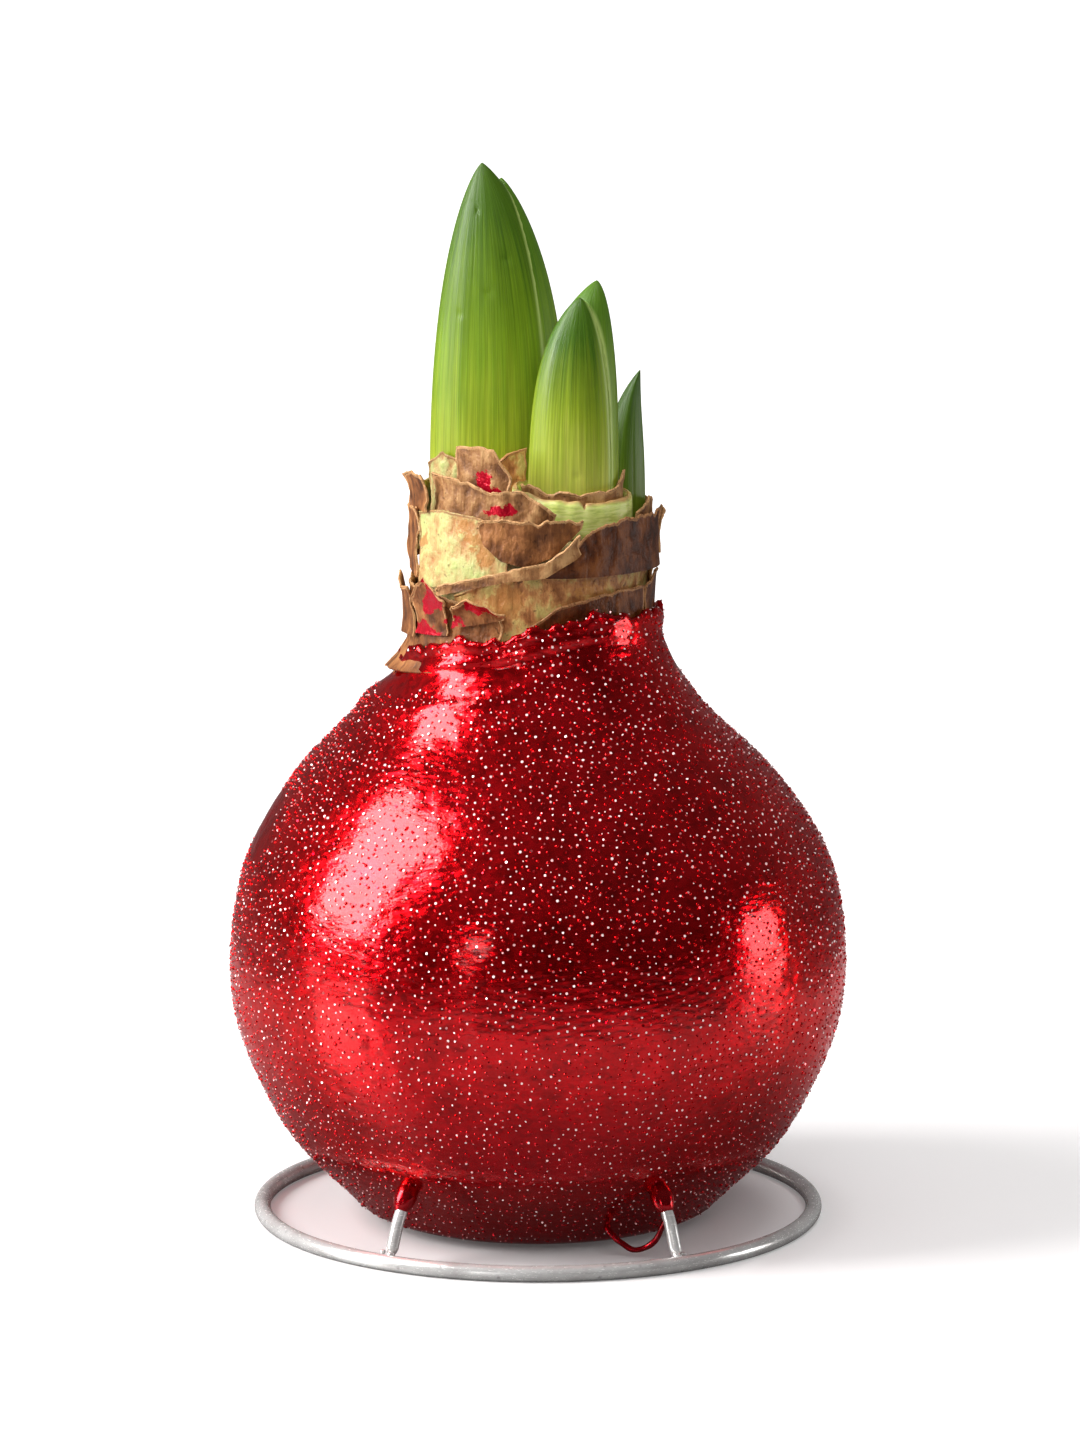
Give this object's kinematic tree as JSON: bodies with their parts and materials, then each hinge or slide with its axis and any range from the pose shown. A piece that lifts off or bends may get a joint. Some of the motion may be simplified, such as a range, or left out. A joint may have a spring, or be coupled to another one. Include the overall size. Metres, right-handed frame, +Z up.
{
  "type": "waxed amaryllis bulb on a wire ring stand",
  "caption": "Sprouting amaryllis bulb dipped in glossy glitter wax up to its papery neck, with short green shoots, standing on a wire ring with prongs.",
  "frame": {"origin": "on the table, under the middle of the bulb and the ring", "axes": "+Z up along the bulb's axis, -Y towards the front seen in the picture, +X to its right"},
  "size_m": [0.0956, 0.0956, 0.1633],
  "materials": {
    "steel_wire": "bright drawn wire, polished, with fine scratches",
    "glitter_wax": "glossy red dipped wax with fine silver-pink glitter",
    "bulb_flesh": "satin plant tissue, cream to yellow-green",
    "leaf_green": "smooth waxy leaf with fine parallel veins",
    "leaf_pale": "satin cut leaf base",
    "scale_cream": "satin fleshy scale",
    "papery_tan": "dry papery scale, light brown, fibrous",
    "papery_brown": "dry papery scale, dark brown, curled edges"
  },
  "bodies": {
    "root": {"stand_ring": "steel_wire", "stand_leg_front_left": "steel_wire", "stand_leg_front_right": "steel_wire", "stand_leg_back_left": "steel_wire", "stand_leg_back_right": "steel_wire", "wax_coat": "glitter_wax", "bulb": "bulb_flesh", "leaf_large_front": "leaf_green", "leaf_large_back": "leaf_green", "leaf_medium_front": "leaf_green", "leaf_medium_back": "leaf_green", "leaf_small": "leaf_green", "leaf_collar": "leaf_pale", "collar_lining": "papery_tan", "scale_cream_left": "scale_cream", "scale_olive": "papery_tan", "scale_flesh_left": "scale_cream", "scale_tan_lower": "papery_tan", "scale_back": "scale_cream", "tunic_flap": "papery_tan", "tunic_upper_left": "papery_tan", "tunic_curl_left": "papery_brown", "tunic_edge_left": "papery_brown", "tunic_band_left": "papery_brown", "tunic_band_right": "papery_brown", "tunic_ribbon": "papery_tan", "tunic_right_upper": "papery_tan", "tunic_flake_right": "papery_brown", "tunic_edge_right": "papery_brown", "tunic_lower_front": "papery_brown", "tunic_lower_left": "papery_brown", "tunic_left_lower": "papery_brown", "tunic_cup_left": "papery_brown", "tunic_cup_middle": "papery_brown", "tunic_back_upper": "papery_brown", "tunic_back_lower": "papery_tan", "tunic_back_flap": "papery_brown"}
  },
  "joints": []
}
